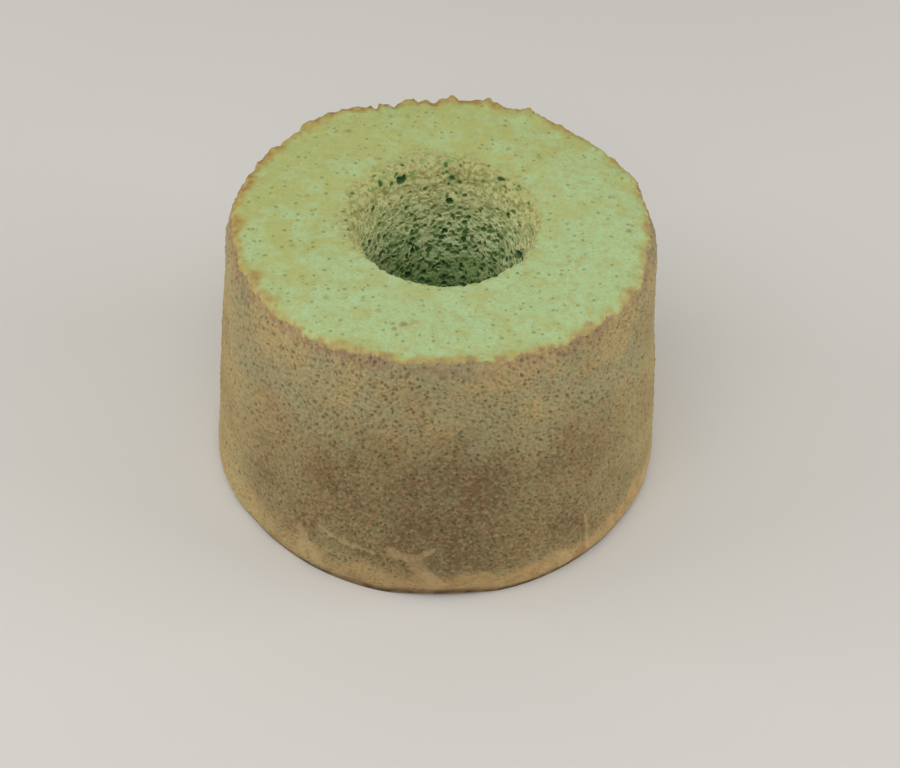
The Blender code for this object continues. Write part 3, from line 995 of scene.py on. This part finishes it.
def wall_material(colours):
    """Tan to grey green crumb full of small pores with painted shade in them, and smoother tan skin at the
    foot; painted shade lies under the foot's edge and low on the wall in front.
    """
    material, tree, shader, where = new_material("crumb_wall", 0.9)
    up = add_node(tree, "SeparateXYZ", Vector=where).outputs["Z"]
    # Painted shade low on the front of the wall, fading out upwards and towards the foot.
    in_front = step(tree, distance_along(tree, where, BACK), -68 * MM, -20 * MM, 1.0, 0.2)
    low = product(tree, step(tree, up, 42 * MM, 82 * MM, 1.0, 0.0), in_front)
    low = product(tree, low, step(tree, up, 4 * MM, 20 * MM, 0.3, 1.0))
    broad = step(tree, mottle(tree, where, 20 * MM, 3.0), 0.3, 0.7, -0.25, 0.25)
    high = step(tree, up, 50 * MM, 66 * MM, 0.2, 0.75)
    grey = product(tree, step(tree, mottle(tree, where, 13 * MM, 3.0, 0.5), 0.36, 0.66), high)
    skin = mark_value(tree, "skin")
    streaks = step(tree, mottle(tree, where, 4.0 * MM, 3.0, 1.3), 0.4, 0.66)
    foot = blend(tree, streaks, colours.foot_skin, colours.foot_brown)
    loose = mark_value(tree, "loose")
    calm = step(tree, larger(tree, skin, loose), 0.0, 1.0, 1.0, 0.55)
    # Fine mottle and specks make dark hollows: bumped in and painted with shade, less on the smooth skin.
    fine = step(tree, mottle(tree, where, 0.7 * MM, 2.0, 0.2), 0.5, 0.7, 0.0, 0.5)
    wide = specks(tree, stirred(tree, where, 0.9 * MM, 0.3 * MM), 2.0 * MM, 0.7 * MM, 0.6, 0.5)
    hole_and_shade = larger(tree, mark_value(tree, "pore"), product(tree, fine, calm))
    hole_and_shade = larger(tree, hole_and_shade, product(tree, wide, calm))
    # How strongly the painted shade under the foot shows, stretch by stretch.
    under = step(tree, mottle(tree, where, 5.0 * MM, 3.0, 2.7), 0.35, 0.65, 0.5, 0.9)
    ragged = step(tree, mottle(tree, where, 1.6 * MM, 3.0, 0.9), 0.3, 0.7, -0.45, 0.45)
    rim = total(tree, mark_value(tree, "rim"), ragged)
    line = product(tree, step(tree, rim, 0.4, 1.3), line_strength(tree, where))
    colour = layered(
        tree,
        colours.wall_light,
        (total(tree, low, broad), colours.wall_brown_and_shade),
        (grey, colours.wall_grey),
        (product(tree, skin, 0.55), foot),
        (step(tree, mottle(tree, where, 1.3 * MM, 2.5, 0.8), 0.46, 0.70, 0.0, 0.5), colours.wall_pink),
        (step(tree, mottle(tree, where, 1.5 * MM, 2.5, 2.1), 0.46, 0.70, 0.0, 0.5), colours.wall_grey),
        (product(tree, loose, 0.35), colours.foot_flake),
        # Painted shade in the pores and hollows.
        (step(tree, hole_and_shade, 0.0, 1.1, 0.0, 0.68), colours.wall_pore_shade),
        # Painted shade under the foot's edge.
        (product(tree, mark_value(tree, "under"), under), colours.foot_edge_shade),
        (product(tree, line, 0.65), colours.rim_line),
    )
    feed(tree, shader.inputs["Base Color"], colour)
    add_bump(tree, shader, mottle(tree, where, 0.8 * MM, 3.0, 0.2), hole_and_shade, 0.7)
    return material


def floor_material(stage):
    """A plain pale matt floor."""
    material, tree, shader, where = new_material("floor", 0.8)
    tone = step(tree, mottle(tree, where, 0.4, 2.0), 0.3, 0.7, 0.0, 1.0)
    pale = tuple(stage.floor)
    colour = blend(tree, tone, pale, tuple(0.97 * channel for channel in pale))
    feed(tree, shader.inputs["Base Color"], colour)
    return material


# The camera, fitted to the view from above in front.
CAMERA_LENS = 72.0
CAMERA_ELEVATION = 44.26
CAMERA_ROLL = 2.21
CAMERA_DISTANCE = 0.5733
CAMERA_TARGET = (0.0041, 0.0, 0.0236)
FLOOR_SIZE = 6.0


def add_camera():
    """The camera looks along +Y and down, a little rolled."""
    elevation, roll = math.radians(CAMERA_ELEVATION), math.radians(CAMERA_ROLL)
    back = Vector((0.0, -math.cos(elevation), math.sin(elevation)))
    up = Vector((0.0, math.sin(elevation), math.cos(elevation)))
    right = Vector((1.0, 0.0, 0.0))
    across = right * math.cos(roll) + up * math.sin(roll)
    upward = up * math.cos(roll) - right * math.sin(roll)
    data = bpy.data.cameras.new("camera")
    data.lens = CAMERA_LENS
    camera = bpy.data.objects.new("camera", data)
    turned = Matrix((across, upward, back)).transposed().to_4x4()
    camera.matrix_world = Matrix.Translation(Vector(CAMERA_TARGET) + back * CAMERA_DISTANCE) @ turned
    bpy.context.scene.collection.objects.link(camera)
    bpy.context.scene.camera = camera


def add_softbox(name, place, size, power):
    """A square soft light that faces the cake."""
    data = bpy.data.lights.new(name, "AREA")
    data.shape = "SQUARE"
    data.size = size
    data.energy = power
    light = bpy.data.objects.new(name, data)
    light.location = place
    light.rotation_euler = (Vector((0.0, 0.0, 0.05)) - Vector(place)).to_track_quat("-Z", "Y").to_euler()
    bpy.context.scene.collection.objects.link(light)


def add_floor(stage):
    """A wide flat floor under the cake."""
    half = FLOOR_SIZE / 2
    corners = [(-half, -half, 0.0), (half, -half, 0.0), (half, half, 0.0), (-half, half, 0.0)]
    mesh = bpy.data.meshes.new("floor")
    mesh.from_pydata(corners, [], [(0, 1, 2, 3)])
    mesh.materials.append(floor_material(stage))
    floor = bpy.data.objects.new("floor", mesh)
    bpy.context.scene.collection.objects.link(floor)


class CAKE_OT_add_wall(bpy.types.Operator):
    """Adds the porous outer wall with its foot and base"""

    bl_idname = "cake.add_wall"
    bl_label = "Crumb wall"

    def execute(self, context):
        build_wall(context.scene.cake_sizes, wall_material(context.scene.cake_colours))
        return {"FINISHED"}


class CAKE_OT_add_top(bpy.types.Operator):
    """Adds the skin on top and the torn wall of the tunnel"""

    bl_idname = "cake.add_top"
    bl_label = "Top skin and tunnel"

    def execute(self, context):
        material = skin_material(context.scene.cake_colours)
        build_top(context.scene.cake_sizes, material)
        build_tunnel(context.scene.cake_sizes, material)
        return {"FINISHED"}


class CAKE_OT_set_stage(bpy.types.Operator):
    """Sets the floor, the lights, the camera and the view's colours"""

    bl_idname = "cake.set_stage"
    bl_label = "Stage"

    def execute(self, context):
        stage = context.scene.cake_stage
        add_camera()
        add_floor(stage)
        add_softbox("key", (-0.15, -0.62, 1.02), 1.0, stage.key_power)
        add_softbox("left", (-1.00, -0.10, 0.40), 0.7, stage.side_power)
        add_softbox("right", (1.00, -0.10, 0.40), 0.7, stage.side_power)
        world = bpy.data.worlds.new("sky")
        world.use_nodes = True
        sky = world.node_tree.nodes["Background"]
        sky.inputs["Color"].default_value = (*stage.sky, 1.0)
        sky.inputs["Strength"].default_value = stage.sky_strength
        context.scene.world = world
        context.scene.view_settings.view_transform = "Standard"
        return {"FINISHED"}


class CAKE_PT_sidebar(bpy.types.Panel):
    """The cake's sizes, colours and steps"""

    bl_idname = "CAKE_PT_sidebar"
    bl_label = "Angel food cake"
    bl_space_type = "VIEW_3D"
    bl_region_type = "UI"
    bl_category = "Cake"

    def draw(self, context):
        for group in (context.scene.cake_sizes, context.scene.cake_colours, context.scene.cake_stage):
            box = self.layout.box()
            for name in group.__annotations__:
                box.prop(group, name)
        for operator in OPERATORS:
            self.layout.operator(operator.bl_idname)


OPERATORS = (CAKE_OT_add_wall, CAKE_OT_add_top, CAKE_OT_set_stage)
GROUPS = {"cake_sizes": CakeSizes, "cake_colours": CakeColours, "cake_stage": CakeStage}
CLASSES = (*GROUPS.values(), *OPERATORS, CAKE_PT_sidebar)


def register():
    for cls in CLASSES:
        bpy.utils.register_class(cls)
    for name, group in GROUPS.items():
        setattr(bpy.types.Scene, name, PointerProperty(type=group))


def unregister():
    for name in GROUPS:
        delattr(bpy.types.Scene, name)
    for cls in reversed(CLASSES):
        bpy.utils.unregister_class(cls)


def main():
    register()
    bpy.ops.cake.add_wall()
    bpy.ops.cake.add_top()
    bpy.ops.cake.set_stage()


if __name__ == "__main__":
    main()
